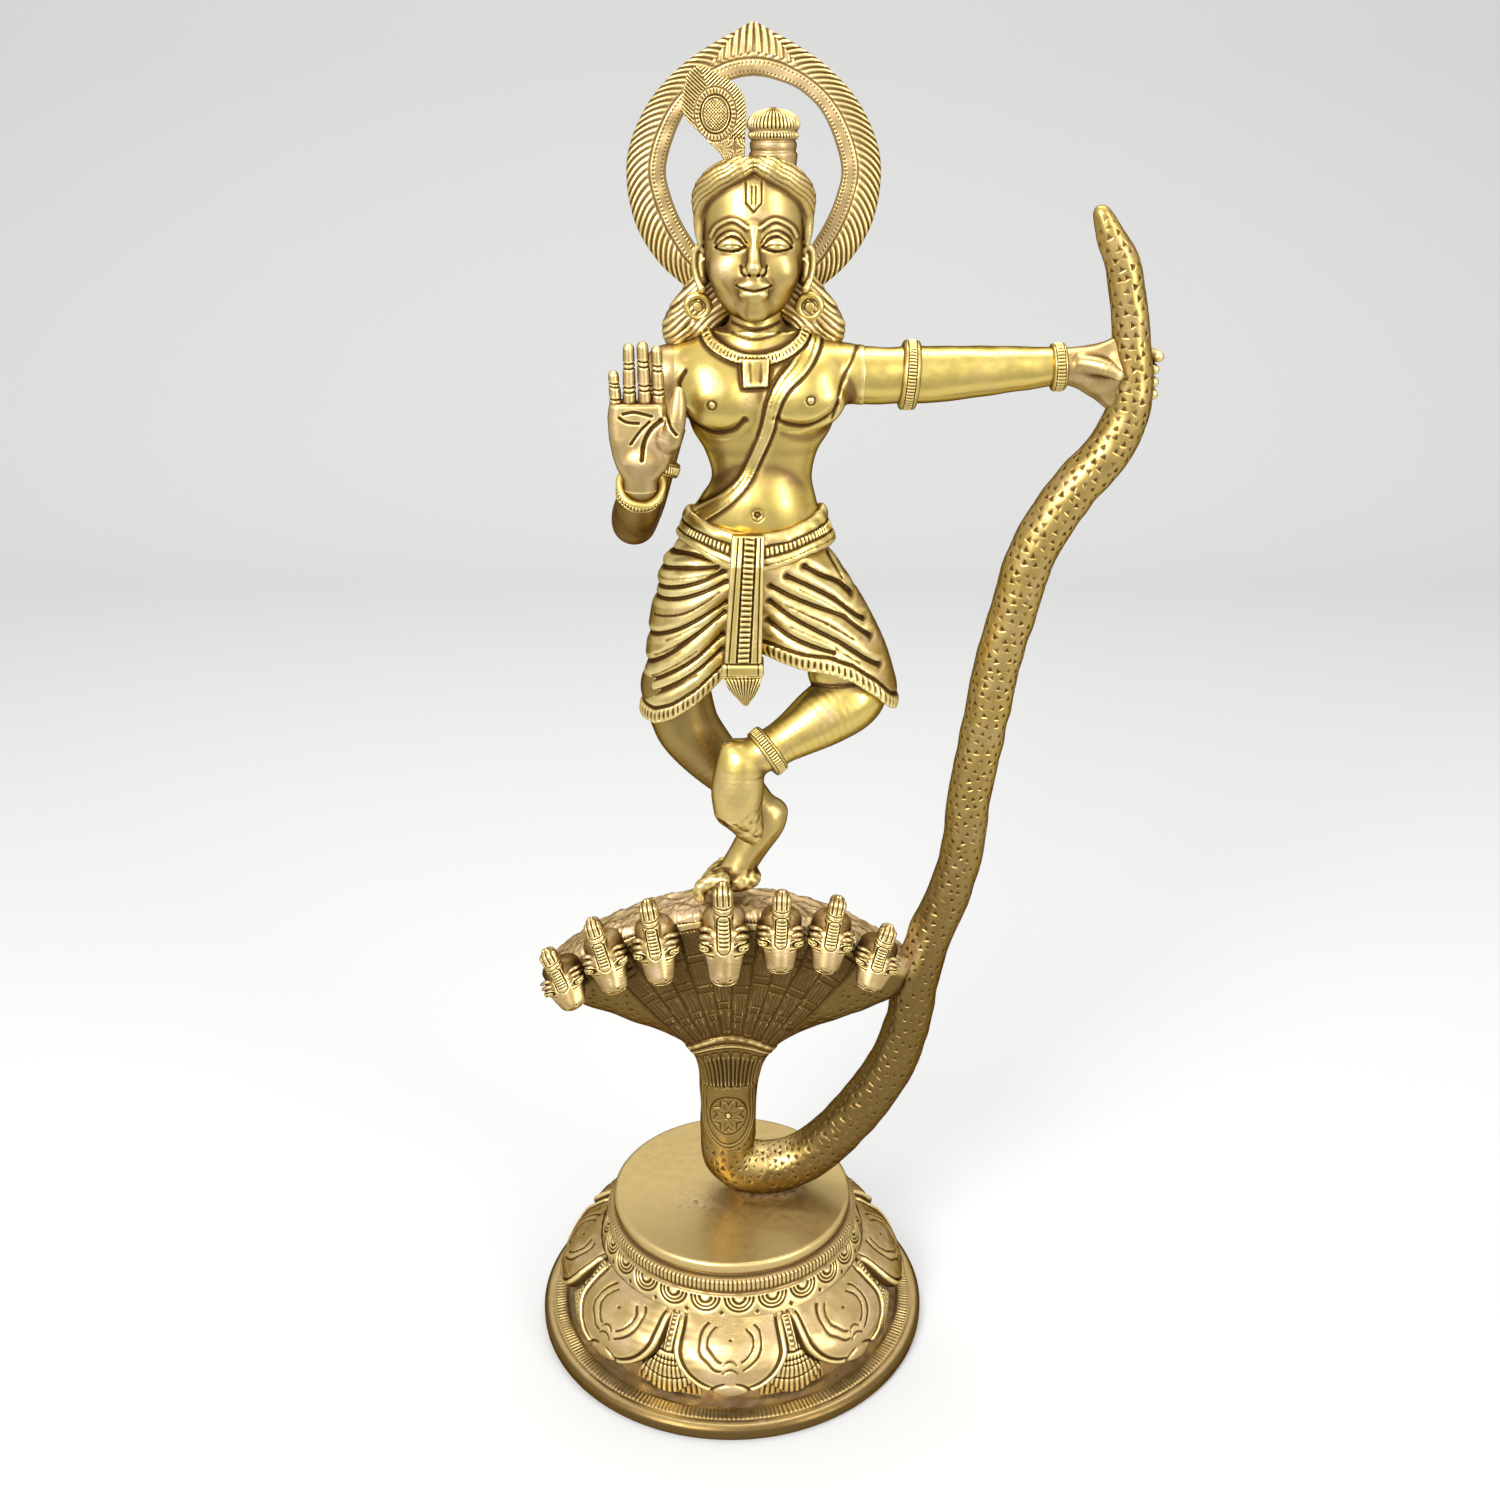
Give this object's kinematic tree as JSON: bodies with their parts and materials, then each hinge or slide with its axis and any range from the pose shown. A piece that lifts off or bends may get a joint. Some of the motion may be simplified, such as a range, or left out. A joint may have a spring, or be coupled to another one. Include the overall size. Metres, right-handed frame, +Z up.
{
  "type": "brass statue of a figure dancing on a serpent",
  "caption": "Cast brass statue of a dancing figure on the hood of a many-headed serpent, holding its tail, on a round lotus pedestal with a flat rim to stand on.",
  "frame": {"origin": "centre of the pedestal's underside", "axes": "+Z up, the statue faces -Y, and +X is the side where the serpent's tail rises"},
  "size_m": [0.2076, 0.146, 0.4572],
  "materials": {
    "brass": "polished with a dull patina in the recesses",
    "steel": "zinc plated"
  },
  "bodies": {
    "root": {"anklet": "brass", "armlet_left": "brass", "armlet_right": "brass", "base_bolt": "steel", "base_washer": "steel", "belt": "brass", "bracelet_left": "brass", "bracelet_right": "brass", "earring_left": "brass", "earring_right": "brass", "front_pleat": "brass", "hair_locks": "brass", "halo": "brass", "halo_screw": "steel", "head": "brass", "left_arm": "brass", "left_hand": "brass", "lotus_pedestal": "brass", "peacock_feather": "brass", "pleat_tassel": "brass", "plinth_disc": "brass", "raised_leg": "brass", "right_arm": "brass", "right_hand": "brass", "serpent_head_1": "brass", "serpent_head_2": "brass", "serpent_head_3": "brass", "serpent_head_4": "brass", "serpent_head_5": "brass", "serpent_head_6": "brass", "serpent_head_7": "brass", "serpent_hood": "brass", "serpent_tail": "brass", "standing_leg": "brass", "topknot": "brass", "torso": "brass", "waist_cloth": "brass"}
  },
  "joints": []
}
